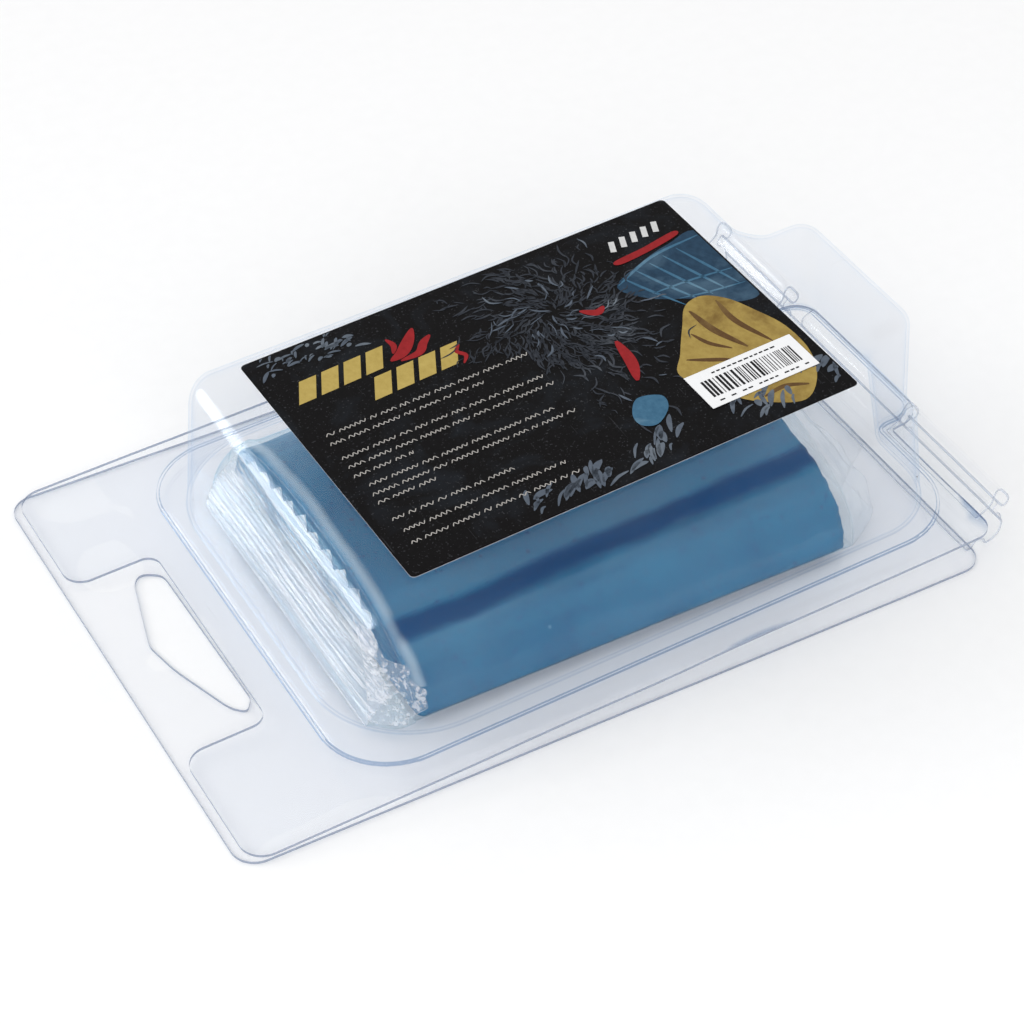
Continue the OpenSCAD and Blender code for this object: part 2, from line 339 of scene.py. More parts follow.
def formed_sheet(name, field, grid, plan, reach, outline, holes, wave, mats, matrix=None):
    """A thermoformed sheet: the form within reach of its plan, then a flat flange to the outline."""
    p, quads = surface_net(field, *grid)
    quads = quads[np.all((plan(p[:, 0], p[:, 1]) < reach)[quads], axis=1)]
    used = np.unique(quads)
    lookup = np.full(len(p), -1)
    lookup[used] = np.arange(len(used))
    p, quads = p[used], lookup[quads]
    ring = sorted(loops_of(quads.tolist()), key=len)[-1]
    p[ring, 2] = SHEET
    ring_xy = p[ring, :2]

    def on_flange(q):
        ok = inside(outline, q) & ~inside(ring_xy, q)
        for h in holes:
            ok &= ~inside(h, q)
        return ok

    lo, hi = outline.min(0), outline.max(0)
    fill = np.meshgrid(*[np.arange(lo[k] + 1.6, hi[k], 2.6) for k in (0, 1)], indexing="ij")
    fill = np.stack([a.ravel() for a in fill], 1)
    ok = on_flange(fill)
    lines = [ring_xy, outline] + holes
    for q in np.vstack(lines):
        ok &= np.hypot(*(fill - q).T) > 1.0
    starts = np.cumsum([0] + [len(a) for a in lines])
    edges = [(int(s + i), int(s + (i + 1) % len(a))) for s, a in zip(starts, lines) for i in range(len(a))]
    points = [Vector(q) for q in np.vstack(lines + [fill[ok]])]
    points, _, tri, origin = delaunay_2d_cdt(points, edges, [], 0, 1e-7)[:4]
    xy = np.array([(q.x, q.y) for q in points])
    tri = np.array([list(t) for t in tri])
    tri = tri[on_flange(xy[tri].mean(1))]
    target, extra = [], []
    for q, o in zip(xy, origin):
        first = min(o) if len(o) else -1
        if 0 <= first < len(ring):
            target.append(ring[first])
        else:
            target.append(len(p) + len(extra))
            extra.append((*q, SHEET))
    verts = np.vstack([p, np.array(extra)])
    normals = np.vstack([gradient(field, p), np.tile([0, 0, 1.0], (len(extra), 1))])
    normals[ring] = (0, 0, 1.0)
    normals = unit(normals)
    # a little life in the flat sheet, fading out at the form
    x, y, e = verts[:, 0], verts[:, 1], 0.05
    for k, (ex, ey) in enumerate(((e, 0), (0, e))):
        normals[:, k] -= (wave(x + ex, y + ey) - wave(x - ex, y - ey)) / (2 * e) * normals[:, 2]
    verts[:, 2] += wave(x, y)
    normals = unit(normals)
    tri = np.array(target)[tri]
    a, b, c = [verts[tri[:, k], :2] for k in range(3)]
    area = (b - a)[:, 0] * (c - a)[:, 1] - (b - a)[:, 1] * (c - a)[:, 0]
    tri = np.where(area[:, None] > 0, tri, tri[:, ::-1])
    count = len(verts)
    skin = quads.tolist() + tri.tolist()
    faces = skin + [[i + count for i in reversed(f)] for f in skin]
    index = [0] * len(faces)
    for loop in loops_of(skin):
        for a, b in zip(loop, loop[1:] + loop[:1]):
            faces.append((b, a, a + count, b + count))
            index.append(1)
    ob = build(name, np.vstack([verts, verts - normals * SHEET]), faces, mats, index, matrix)
    me = ob.data
    # exact normals on the skins, flat ones across the cut edge
    corner = np.zeros(len(me.loops), np.int64)
    me.loops.foreach_get("vertex_index", corner)
    at_corner = np.vstack([normals, -normals])[corner]
    for poly in me.polygons[len(skin) * 2:]:
        for k in poly.loop_indices:
            at_corner[k] = poly.normal
    me.normals_split_custom_set(at_corner.tolist())
    return ob


def arc(cx, cy, r, a0, a1, n=14):
    a = np.radians(np.linspace(a0, a1, n))
    return [(cx + r * math.cos(t), cy + r * math.sin(t)) for t in a]


def rect_line(x0, x1, half, r, first, n=14):
    """Outline of a rounded rectangle, from one of its corners on."""
    spots = [(x1 - r, half - r), (x0 + r, half - r), (x0 + r, -half + r), (x1 - r, -half + r)]
    order = [(first + k) % 4 for k in range(4)]
    return [q for k in order for q in arc(*spots[k], r, 90 * k, 90 * k + 90, n)]


def densify(points, step=2.0):
    out = []
    pts = [np.array(q, float) for q in points]
    for a, b in zip(pts, pts[1:] + pts[:1]):
        n = max(1, int(math.ceil(np.linalg.norm(b - a) / step)))
        out += [a + (b - a) * k / n for k in range(n)]
    return np.array(out)


def between(a, b, c, d, t):
    """Catmull-Rom point from b to c."""
    square, cube = 2 * a - 5 * b + 4 * c - d, 3 * b - a - 3 * c + d
    return 0.5 * (2 * b + (c - a) * t + square * t * t + cube * t ** 3)


def spline(points, per=8):
    """Smooth line through the points."""
    p = np.array(points, float)
    p = np.vstack([2 * p[0] - p[1], p, 2 * p[-1] - p[-2]])
    out = [between(*p[k - 1:k + 3], t) for k in range(1, len(p) - 2) for t in np.arange(per) / per]
    return np.array(out + [p[-2]])


def blob(points, per=6):
    """Smooth closed outline through the points."""
    p = np.array(points, float)
    n = len(p)
    return np.array([between(p[k - 1], p[k], p[(k + 1) % n], p[(k + 2) % n], t)
        for k in range(n) for t in np.arange(per) / per])


# ---- materials


class Nodes:
    """Short hand for a node tree."""

    def __init__(self, owner, end="OutputMaterial"):
        owner.use_nodes = True
        self.owner, self.tree = owner, owner.node_tree
        self.tree.nodes.clear()
        self.end = self.tree.nodes.new("ShaderNode" + end).inputs[0]

    def node(self, kind, inputs, **props):
        n = self.tree.nodes.new("ShaderNode" + kind)
        for k, v in props.items():
            setattr(n, k, v)
        for k, v in inputs.items():
            s = n.inputs[k]
            if isinstance(v, bpy.types.NodeSocket):
                self.tree.links.new(v, s)
            else:
                s.default_value = (*v, 1) if s.type == "RGBA" else v
        return n

    def get(self, kind, inputs, output=0, **props):
        return self.node(kind, inputs, **props).outputs[output]

    def math(self, op, a, b=0.0, c=0.0, clamp=False):
        return self.get("Math", {0: a, 1: b, 2: c}, operation=op, use_clamp=clamp)

    def times(self, a, b):
        return self.math("MULTIPLY", a, b)

    def times_add(self, a, b, c, clamp=False):
        return self.math("MULTIPLY_ADD", a, b, c, clamp)

    def above(self, a, b):
        return self.math("GREATER_THAN", a, b)

    def mix(self, fac, a, b, kind="MIX"):
        return self.get("Mix", {0: fac, 6: a, 7: b}, 2, data_type="RGBA", blend_type=kind)

    def layer(self, fac, a, b):
        return self.get("MixShader", {0: fac, 1: a, 2: b})

    def ramp(self, fac, stops):
        n = self.node("ValToRGB", {0: fac})
        el = n.color_ramp.elements
        while len(el) < len(stops):
            el.new(0.5)
        for e, (pos, col) in zip(el, stops):
            e.position = pos
            e.color = (*col, 1)
        return n.outputs[0]

    def rise(self, fac, start, stop):
        """Black up to one value, white from another."""
        return self.ramp(fac, [(start, (0, 0, 0)), (stop, (1, 1, 1))])

    def fade(self, value, start, stop):
        return self.get("MapRange", {0: value, 1: start, 2: stop, 3: 0.0, 4: 1.0})

    def noise(self, vec, scale, detail=2.0, rough=0.5, dist=0.0):
        return self.get("TexNoise", {"Vector": vec, "Scale": scale, "Detail": detail, "Roughness": rough,
            "Distortion": dist})

    def coords(self, scale=(1, 1, 1), rot=(0, 0, 0)):
        at = self.get("TexCoord", {}, "Object")
        return self.get("Mapping", {"Vector": at, "Scale": scale, "Rotation": rot})

    def grain(self, scale, detail, rough=0.5, turn=0.0):
        """Noise stretched along an axis."""
        return self.noise(self.coords(scale, (0, 0, turn)), 1.0, detail, rough)

    def bump(self, height, strength, distance, normal=None):
        under = {} if normal is None else {"Normal": normal}
        return self.get("Bump", {"Height": height, "Strength": strength, "Distance": distance, **under})

    def surface(self, shader):
        self.tree.links.new(shader, self.end)
        return self.owner


def new_material(name):
    return Nodes(bpy.data.materials.new(name))


def specks(n, scale, size, turn, keep):
    """A few small dots, 1 on a dot."""
    c = n.coords(rot=(0.3 * turn, 0.2, 0.5 * turn))
    v = n.node("TexVoronoi", {"Vector": c, "Scale": scale, "Randomness": 1.0})
    dot = n.math("LESS_THAN", v.outputs["Distance"], size)
    return n.times(dot, n.above(n.get("SeparateColor", {0: v.outputs["Color"]}), keep))


FLANK_TOP = 0.008


def band_about(n, at, centre, wander, outer, inner):
    """1 within a band about a line, in metres."""
    off = n.math("ABSOLUTE", n.math("ADD", n.math("SUBTRACT", at, centre), wander))
    return n.fade(off, outer, inner)


def painted_dark_stripe_zone(n):
    """1 along the stripe of the bar's near shoulder, painted as a dark reflection: the clay is darkened there
    and the film's mirror and haze are cut back.
    """
    at = n.node("SeparateXYZ", {0: n.coords()}).outputs
    wander = n.times_add(n.noise(n.coords(), 75.0, 3.0), 0.0022, -0.0011)
    across = band_about(n, at[1], n.times_add(at[0], 0.041, -0.0229), wander, 0.0024, 0.0012)
    start = n.fade(n.math("ADD", at[0], wander), -0.0345, -0.0325)
    return n.times(n.times(across, start), n.above(at[2], FLANK_TOP))


def painted_highlight_band(n):
    """1 along the hang edge of the bar, where the film is drawn over it: a painted highlight, laid on the film
    as pale haze.
    """
    at = n.node("SeparateXYZ", {0: n.coords()}).outputs
    wander = n.times_add(n.noise(n.coords(), 60.0, 3.0), 0.0012, -0.0006)
    band = band_about(n, at[0], (bar_lo[0] + 1.0) * MM, wander, 0.0013, 0.0002)
    return n.times(band, n.above(at[2], FLANK_TOP))


def clear_plastic(name, clear, dark, haze, haze_color, rough, wave, wave_scale, scratch, gloss, power=4.0,
        shade_lines_at=None, painted_bar_light=False, crimp_whitening_and_glints=0.0, sheen=(1, 1, 1)):
    """See-through sheet: a tint that deepens edge on, a soft mirror, and a little haze, dust and scratching."""
    n = new_material(name)
    c = n.coords()
    lines = n.grain((30, 900, 300), 4.0, 0.7, 0.6)
    lines2 = n.grain((700, 24, 300), 4.0, 0.7, 0.25)
    normal = n.bump(n.noise(c, wave_scale, 2.0), wave, 0.001)
    normal = n.bump(n.noise(c, wave_scale * 9, 3.0), wave * 0.2, 0.0001, normal)
    normal = n.bump(lines, scratch, 0.00003, normal)
    facing = n.get("LayerWeight", {"Blend": 0.5, "Normal": normal}, "Facing")
    mirror = n.times(n.times_add(n.math("POWER", facing, 5.0), 0.8, 0.04), gloss)
    tint = n.mix(n.math("POWER", facing, power), clear, dark)
    # painted dark reflection: the film's mirror cut back along the bar's near-shoulder stripe
    if painted_bar_light:
        mirror = n.times(mirror, n.times_add(painted_dark_stripe_zone(n), -0.9, 1.0))
    # painted shade: the tint darkened in bands by height, at the step and the wall foot
    if shade_lines_at is not None:
        up = LID.to_3x3().col[2]
        along = n.get("VectorMath", {0: c, 1: tuple(up)}, "Value", operation="DOT_PRODUCT")
        height = n.math("SUBTRACT", along, up.dot(LID.translation))
        tint = n.mix(1.0, tint, n.ramp(n.times(height, RAMP_PER_M), shade_lines_at), "MULTIPLY")
    see = n.get("BsdfTransparent", {"Color": tint})
    shine = n.get("BsdfAnisotropic", {"Color": sheen, "Roughness": rough, "Normal": normal})
    body = n.layer(mirror, see, shine)
    marks = n.math("MAXIMUM", n.above(lines, 0.71), n.above(lines2, 0.73))
    marks = n.times(marks, n.above(n.noise(c, 120.0, 1.0), 0.56))
    cloud = n.times(n.noise(c, 55.0, 4.0, 0.6), haze * 2)
    amount = n.math("ADD", cloud, n.times(marks, scratch * 0.5), clamp=True)
    # whitened crimp lines, partly real whitening of the crimp and partly painted highlight of the rib crests
    if crimp_whitening_and_glints:
        crimp_line = n.rise(n.grain((1500, 26, 1500), 3.0, 0.6, 0.03), 0.50, 0.60)
        amount = n.times_add(crimp_line, crimp_whitening_and_glints, amount, True)
    if painted_bar_light:
        # painted highlight: pale haze along the bar's hang edge
        amount = n.times_add(painted_highlight_band(n), 0.22, amount, True)
        # painted dark reflection: the haze cut back along the same stripe
        amount = n.times(amount, n.times_add(painted_dark_stripe_zone(n), -0.9, 1.0))
    body = n.layer(amount, body, n.get("BsdfDiffuse", {"Color": haze_color, "Normal": normal}))
    dust = n.times(specks(n, 260.0, 0.05, 1.0, 0.965), 0.75)
    return n.surface(n.layer(dust, body, n.get("BsdfDiffuse", {"Color": (0.12, 0.11, 0.11)})))


def solid(n, color, rough, normal, **more):
    return n.get("BsdfPrincipled", {"Base Color": color, "Roughness": rough, "Normal": normal, **more})


def cut_edge(name, tone, see_through):
    """Sheared edge of the sheet, darker and duller than its faces."""
    n = new_material(name)
    grain = n.grain((900, 900, 5200), 3.0)
    col = n.mix(grain, [t * 0.8 for t in tone], [min(1, t * 1.2) for t in tone])
    face = solid(n, col, 0.35, n.bump(grain, 0.4, 0.0001))
    return n.surface(n.layer(see_through, face, n.get("BsdfTransparent", {"Color": tone})))


# painted shade: the step and the foot of the walls are drawn thin and look like dark lines, so the tint is
# darkened against height, 0 to 4 mm
RAMP_PER_M = 250.0
WHITE, STEP_SHADE_TINT, FOOT_SHADE_TINT = (1, 1, 1), (0.50, 0.60, 0.75), (0.80, 0.86, 0.93)
FOOT_SHADE_LINES = [(0.150, WHITE), (0.165, STEP_SHADE_TINT), (0.235, STEP_SHADE_TINT), (0.250, WHITE),
    (0.405, WHITE), (0.440, FOOT_SHADE_TINT), (0.52, WHITE)]
FILM_CLEAR, FILM_DARK, SHEET_HAZE = (0.985, 0.995, 0.995), (0.93, 0.955, 0.975), (0.95, 0.965, 0.985)
SHEET_MAT = clear_plastic("clear_sheet_mat", (0.983, 0.986, 0.992), (0.94, 0.955, 0.985), 0.010, SHEET_HAZE,
    0.08, 0.08, 45.0, 0.12, 0.42, shade_lines_at=FOOT_SHADE_LINES, sheen=(0.82, 0.92, 1.0))
BACK_MAT = clear_plastic("back_sheet_mat", (0.986, 0.988, 0.993), (0.90, 0.915, 0.95), 0.010, SHEET_HAZE,
    0.08, 0.08, 45.0, 0.12, 0.55)
HINGE_MAT = clear_plastic("hinge_sheet_mat", (0.997, 0.998, 0.999), (0.98, 0.985, 0.992), 0.016,
    (0.98, 0.985, 0.99), 0.12, 0.12, 90.0, 0.15, 0.32)
EDGE_MAT = cut_edge("sheet_edge_mat", (0.42, 0.47, 0.57), 0.5)
HINGE_EDGE_MAT = cut_edge("hinge_edge_mat", (0.72, 0.76, 0.83), 0.6)
# the film carries painted light on the bar: a dark reflection stripe and a highlight band
FILM_MAT = clear_plastic("film_mat", FILM_CLEAR, FILM_DARK, 0.014, (0.72, 0.86, 0.95),
    0.16, 0.35, 170.0, 0.3, 0.30, 3.0, painted_bar_light=True, sheen=(0.60, 0.88, 1.0))
# the fin's crimp lines: whitened haze, partly painted highlight
FIN_MAT = clear_plastic("film_fin_mat", (0.985, 0.988, 0.996), (0.88, 0.91, 0.955), 0.08,
    (0.975, 0.98, 0.995), 0.24, 0.35, 150.0, 0.4, 0.7, 2.6, crimp_whitening_and_glints=0.30)
TAIL_MAT = clear_plastic("film_tail_mat", (0.988, 0.993, 0.996), FILM_DARK, 0.035, (0.93, 0.965, 0.99),
    0.14, 0.5, 190.0, 0.4, 0.8, 3.0)
FILM_EDGE_MAT = cut_edge("film_edge_mat", (0.93, 0.96, 0.98), 0.15)


def clay_material():
    n = new_material("clay_mat")
    c = n.coords()
    mottle = n.noise(c, 70.0, 5.0, 0.6, 0.4)
    deep = n.mix(n.rise(mottle, 0.35, 0.7), (0.003, 0.126, 0.275), (0.006, 0.176, 0.345))
    # painted reflection: lighter bands along the bar, standing in for the film's soft reflections
    reflection_bands = n.rise(n.grain((7, 170, 170), 2.0, turn=0.04), 0.46, 0.68)
    deep = n.mix(n.times(reflection_bands, 0.40), deep, (0.030, 0.235, 0.42))
    # painted dark reflection: the clay darkened along its near-shoulder stripe
    deep = n.mix(painted_dark_stripe_zone(n), deep, (0.000, 0.066, 0.205))
    fine = n.noise(c, 1400.0, 3.0, 0.7)
    deep = n.mix(n.ramp(fine, [(0.30, (1, 1, 1)), (0.42, (0, 0, 0))]), deep, (0.002, 0.045, 0.17))
    pits = specks(n, 420.0, 0.16, 2.0, 0.86)
    deep = n.mix(n.times(pits, 0.6), deep, (0.002, 0.035, 0.14))
    deep = n.mix(n.times(specks(n, 330.0, 0.10, 3.0, 0.94), 0.5), deep, (0.20, 0.42, 0.62))
    normal = n.bump(n.noise(c, 220.0, 3.0), 0.25, 0.0006)
    normal = n.bump(fine, 0.35, 0.0001, normal)
    normal = n.bump(n.math("SUBTRACT", 1.0, pits), 0.4, 0.00015, normal)
    return n.surface(solid(n, deep, n.times_add(mottle, 0.2, 0.34), normal, **{"Specular IOR Level": 0.16}))


CLAY_MAT = clay_material()


def paper(name, low, high, rough, fleck=None, blotch=None):
    """Paper or ink: fine fibres between two tones, with larger blotches and pale flecks where asked."""
    n = new_material(name)
    fibres = n.grain((900.0, 630.0, 900.0), 4.0, 0.7)
    col = n.mix(fibres, low, high)
    if blotch is not None:
        col = n.mix(n.rise(n.noise(n.coords(), 90.0, 5.0, 0.62, 0.6), 0.50, 0.74), col, blotch)
    if fleck is not None:
        col = n.mix(n.times(n.above(n.grain((2600, 2600, 2600), 2.0), 0.66), 0.6), col, fleck)
        streak = n.grain((1500, 40, 900), 3.0, 0.7, 0.1)
        col = n.mix(n.times(n.above(streak, 0.70), 0.5), col, fleck)
    return n.surface(solid(n, col, rough, n.bump(fibres, 0.2, 0.0001), **{"Specular IOR Level": 0.06}))


LABEL_MAT = paper("label_mat", (0.0020, 0.0018, 0.0020), (0.006, 0.0055, 0.006), 0.6, (0.05, 0.052, 0.058),
    (0.012, 0.015, 0.020))
LABEL_BACK_MAT = paper("label_back_mat", (0.62, 0.64, 0.66), (0.78, 0.79, 0.80), 0.7)
GOLD_INK = paper("ink_gold_mat", (0.34, 0.24, 0.055), (0.55, 0.42, 0.13), 0.5)
RED_INK = paper("ink_red_mat", (0.18, 0.010, 0.012), (0.38, 0.022, 0.026), 0.5)
GREY_INK = paper("ink_grey_mat", (0.34, 0.32, 0.30), (0.52, 0.50, 0.47), 0.55)
PALE_INK = paper("ink_pale_mat", (0.46, 0.46, 0.46), (0.72, 0.72, 0.71), 0.55)
BLUE_INK = paper("ink_blue_mat", (0.008, 0.022, 0.045), (0.03, 0.075, 0.13), 0.5, blotch=(0.07, 0.13, 0.19))
TEAL_INK = paper("ink_teal_mat", (0.020, 0.075, 0.145), (0.075, 0.19, 0.29), 0.5, blotch=(0.15, 0.26, 0.34))
FUR_INK = paper("ink_fur_mat", (0.016, 0.019, 0.026), (0.050, 0.056, 0.068), 0.55,
    blotch=(0.085, 0.095, 0.11))
STEEL_INK = paper("ink_steel_mat", (0.05, 0.065, 0.09), (0.13, 0.155, 0.19), 0.55, blotch=(0.20, 0.23, 0.26))
CLOTH_INK = paper("ink_cloth_mat", (0.24, 0.155, 0.035), (0.46, 0.34, 0.10), 0.5, blotch=(0.12, 0.06, 0.015))
BROWN_INK = paper("ink_brown_mat", (0.06, 0.03, 0.012), (0.15, 0.08, 0.03), 0.5, blotch=(0.22, 0.14, 0.05))
BLACK_INK = paper("ink_black_mat", (0.008, 0.008, 0.009), (0.02, 0.02, 0.022), 0.5)
PATCH_MAT = paper("patch_mat", (0.80, 0.81, 0.82), (0.90, 0.90, 0.90), 0.6, blotch=(0.85, 0.86, 0.88))

# ---- front shell

W0, W1, WH = 21.5, 127.3, 38.4                  # walls of the tub at their foot
S0, S1, SH, SR = 19.4, 129.4, 40.5, 12.0        # the step round them
BOSS_Y, BOSS_HALF, BOSS_END, BOSS_TOP, BOSS_R = 1.6, 17.0, 136.9, 21.2, 4.0
BOSS_Y0, BOSS_Y1 = BOSS_Y - BOSS_HALF, BOSS_Y + BOSS_HALF


def tub_plan(u, y, h):
    k = np.clip(h, -1, TUB_H) / 18.0
    return sd_round_rect(u, y, W0 + 5.4 * k, W1 - 2.4 * k, WH - 2.72 * k, 18.5 - 11.5 * k, 12.0 - 5.0 * k)


def boss_plan(u, y, h):
    lean = 0.66 * np.clip(h, 0, 17) / 17
    return sd_round_rect(u, y - BOSS_Y, 90.0, BOSS_END, BOSS_HALF - lean, BOSS_R, BOSS_R + 0.2)


def step_plan(u, y):
    return sd_round_rect(u, y, S0, S1, SH, SR)


def front_plan(u, y):
    return np.minimum(step_plan(u, y), boss_plan(u, y, 0 * u))


def front_field(u, y, h):
    tub = both(tub_plan(u, y, h), h - TUB_H, 4.9)
    boss = both(boss_plan(u, y, h), h - BOSS_TOP, 3.4)
    body = np.maximum(either(tub, boss, 4.5), h - TUB_H)
    body = either(body, both(step_plan(u, y), h - SHEET - 1.05, 0.55), 0.45)
    return either(body, h - SHEET, 0.4)


def front_wave(u, y):
    size = 0.03 + 0.22 * np.clip(u, 0, 131) / 131
    return size * smooth(1.5, 5.0, front_plan(u, y)) * noise(u / 17, y / 9, 1.0, 5)


NOTCH_X, NOTCH_HALF = 14.4, 21.0


def front_outline():
    r, b, m, tip, c = 4.0, 2.5, 3.5, 3.0, 4.5
    y0, y1, end = BOSS_Y0 - 0.9, BOSS_Y1 + 0.9, BOSS_END + 0.9
    pts = arc(m, -NOTCH_HALF - m, m, 90, 180, 12) + arc(r, -HALF_W + r, r, 180, 270)
    pts += arc(LID_LENGTH - tip, -HALF_W + tip, tip, 270, 360)
    pts += [(LID_LENGTH, y0 - 0.6), (LID_LENGTH + 0.2, y0 - 0.2)]
    pts += arc(end - c, y0 + c, c, 270, 360) + arc(end - c, y1 - c, c, 0, 90)
    pts += [(LID_LENGTH + 0.2, y1 + 0.2), (LID_LENGTH, y1 + 0.6)]
    pts += arc(LID_LENGTH - tip, HALF_W - tip, tip, 0, 90) + arc(r, HALF_W - r, r, 90, 180)
    pts += arc(m, NOTCH_HALF + m, m, 180, 270, 12)
    pts += arc(NOTCH_X - b, NOTCH_HALF - b, b, 90, 0, 10) + arc(NOTCH_X - b, -NOTCH_HALF + b, b, 0, -90, 10)
    return densify(pts, 2.2)


front_grid = (
    axis_steps((16.5, 24.5, 0.4), (24.5, 36, 0.65), (36, 88, 3.2), (88, 114, 1.6), (114, 124, 0.6),
    (124, 139.5, 0.42)),
    axis_steps((-43.5, -33, 0.42), (-33, -28, 0.8), (-28, -20, 1.6), (-20, -10.5, 0.45), (-10.5, 13.5, 2.4),
    (13.5, 23, 0.45), (23, 29, 1.5), (29, 33, 0.8), (33, 43.5, 0.42)),
    axis_steps((-0.4, 2.9, 0.3), (2.9, 15.2, 1.4), (15.2, 23.3, 0.42)),
)
front = formed_sheet("front_shell_sheet", front_field, front_grid, front_plan, 0.5, front_outline(), [],
    front_wave, [SHEET_MAT, EDGE_MAT], LID)

# ---- back shell

P0, P1, PH, PR = LID_X + S0 + 1.3, LID_X + S1 - 1.3, SH - 1.3, 10.7     # the raised plug


def back_plan(x, y):
    return sd_round_rect(x, y, P0 - 1.5, P1 + 1.2, PH + 2.6, PR + 1.8)


def back_field(x, y, z):
    plug = both(sd_round_rect(x, y, P0, P1, PH, PR), z - 1.5, 0.6)
    bend = both(back_plan(x, y), z - 0.72, 0.35)
    return either(either(plug, bend, 0.5), z - SHEET, 0.4)


def back_wave(x, y):
    return 0.04 * smooth(1.5, 4.0, back_plan(x, y)) * noise(x / 15, y / 11, 2.0, 9)


def hang_hole():
    """Blunt triangle, its long side towards the tub: each corner with its own radius."""
    corner = [(0.0, -14.6, 0.8), (-0.4, 17.0, 1.4), (-3.4, 19.0, 1.9), (-5.2, 17.6, 1.6), (-8.9, 3.2, 1.1),
        (-7.6, -3.4, 2.2), (-3.6, -15.0, 1.8), (-1.6, -16.9, 1.0)]
    pts = [np.array((back_lo[0] + 15.8 + a, b)) for a, b, _ in corner]
    out = []
    for k, (_, _, r) in enumerate(corner):
        q = pts[k]
        d0, d1 = [unit(d) * min(r, np.linalg.norm(d) * 0.45)
            for d in (pts[k - 1] - q, pts[(k + 1) % len(pts)] - q)]
        for t in np.linspace(0, 1, 6):
            out.append((1 - t) ** 2 * (q + d0) + 2 * t * (1 - t) * q + t * t * (q + d1))
    return densify(out, 1.4)


back_grid = (
    axis_steps((P0 - 4.5, P0 + 3, 0.38), (P0 + 3, P0 + 12, 0.9), (P0 + 12, P1 - 12, 3.4),
    (P1 - 12, P1 - 3, 0.9), (P1 - 3, P1 + 3.2, 0.38)),
    axis_steps((-PH - 4.5, -PH + 2, 0.38), (-PH + 2, -PH + 11, 0.9), (-PH + 11, PH - 11, 3.4),
    (PH - 11, PH - 2, 0.9), (PH - 2, PH + 4.5, 0.38)),
    axis_steps((-0.4, 2.0, 0.3)),
)
back_line = densify(rect_line(back_lo[0], FLANGE_END, HALF_W, 4.0, 2), 2.2)
back = formed_sheet("back_shell_sheet", back_field, back_grid, back_plan, 0.6, back_line, [hang_hole()],
    back_wave, [BACK_MAT, EDGE_MAT])

# ---- hinge


def swept(name, spans, thick, seed, matrix=None):
    """Sheets that follow a profile in X and Z, swept across the width: spans of (profile, y0, y1)."""
    verts, faces, index = np.zeros((0, 3)), [], []
    for profile, y0, y1 in spans:
        ys = np.linspace(y0, y1, max(4, int(abs(y1 - y0) / 1.4)) + 1)
        g = np.zeros((len(profile), len(ys), 3))
        wob = 0.05 * noise(ys[None, :] / 7, np.arange(len(profile))[:, None] / 6, 0.5, seed)
        g[:, :, 0] = profile[:, 0:1] + wob
        g[:, :, 2] = profile[:, 1:2] + wob * 0.6
        g[:, :, 1] = ys[None, :]
        v, f, i = sheet_from_grid(g, thick)
        faces += [tuple(q + len(verts) for q in face) for face in f]
        verts = np.vstack([verts, v])
        index += i
    return build(name, verts, faces, [HINGE_MAT, HINGE_EDGE_MAT], index, matrix)


def shifted(dx, points):
    return [(x + dx, z) for x, z in points]


fx = fold_hi[0] - 3.0
web_low = (fx + 2.52, 4.2)
fold_profile = spline(shifted(FLANGE_END, [(-0.9, 0.27), (-0.1, 0.34), (0.25, 0.95), (0.7, 1.50), (1.5, 1.62),
    (2.2, 1.35), (2.55, 0.60)])
    + shifted(fx, [(0.35, 0.30), (1.5, 0.72), (2.45, 1.75), (2.74, 3.1), (2.68, 3.75)])
    + [web_low], 5)
fold = swept("back_fold_sheet", [(fold_profile, -FOLD_HALF, FOLD_HALF)], HINGE_SHEET, 21)

bead_line = spline(shifted(bead_hi[0] - 69.0, [
    (62.6, 6.85), (63.6, 7.25), (65.0, 8.15), (65.65, 9.1), (65.85, 10.2), (66.35, 11.05), (67.05, 10.95),
    (67.75, 10.15), (68.45, 9.2), (68.8, 8.35), (68.55, 7.55), (67.95, 7.25), (67.3, 7.75), (66.85, 8.35)]),
    4)
bead_profile = np.array([to_lid(x, z) for x, z in bead_line])
bead = swept("front_bead_sheet", [(bead_profile, -FOLD_HALF, BOSS_Y0 - 0.9),
    (bead_profile, BOSS_Y1 + 0.9, FOLD_HALF)], HINGE_SHEET, 22, LID)

bead_end = from_lid(*bead_profile[-1])
web_profile = spline([web_low] + shifted(fx, [(2.25, 5.3), (1.7, 5.98), (0.85, 6.22), (0.6, 6.7), (0.8, 7.5)])
    + [bead_end], 5)
under_profile = spline([web_low] + shifted(fx, [(2.45, 5.2), (2.9, 6.2)]) + [from_lid(BOSS_END + 0.9, 0.25)],
    5)
web = swept("hinge_web_sheet", [(web_profile, -FOLD_HALF, BOSS_Y0 - 1.2),
    (under_profile, BOSS_Y0 + 2.2, BOSS_Y1 - 2.2), (web_profile, BOSS_Y1 + 1.2, FOLD_HALF)], WEB_SHEET, 23)

# ---- clay bar

BX0, BX1 = bar_lo[0], bar_hi[0]
BZ, BH, BHALF = bar_lo[2], bar_hi[2] - bar_lo[2], bar_hi[1]


def bar_section(count):
    """Outline of the bar's section from the near foot over the crown to the far foot and back under it."""
    a = np.linspace(0, math.pi, count)
    y = -BHALF * np.sign(np.cos(a)) * np.abs(np.cos(a)) ** (2 / CROWN)
    z = BH * np.sin(a) ** (2 / CROWN)
    # even spacing along the line
    s = np.concatenate([[0], np.cumsum(np.hypot(np.diff(y), np.diff(z)))])
    t = np.linspace(0, s[-1], count)
    under = np.linspace(BHALF, -BHALF, count // 3 + 2)[1:-1]
    return np.concatenate([np.interp(t, s, y), under]), np.concatenate([np.interp(t, s, z), 0 * under])


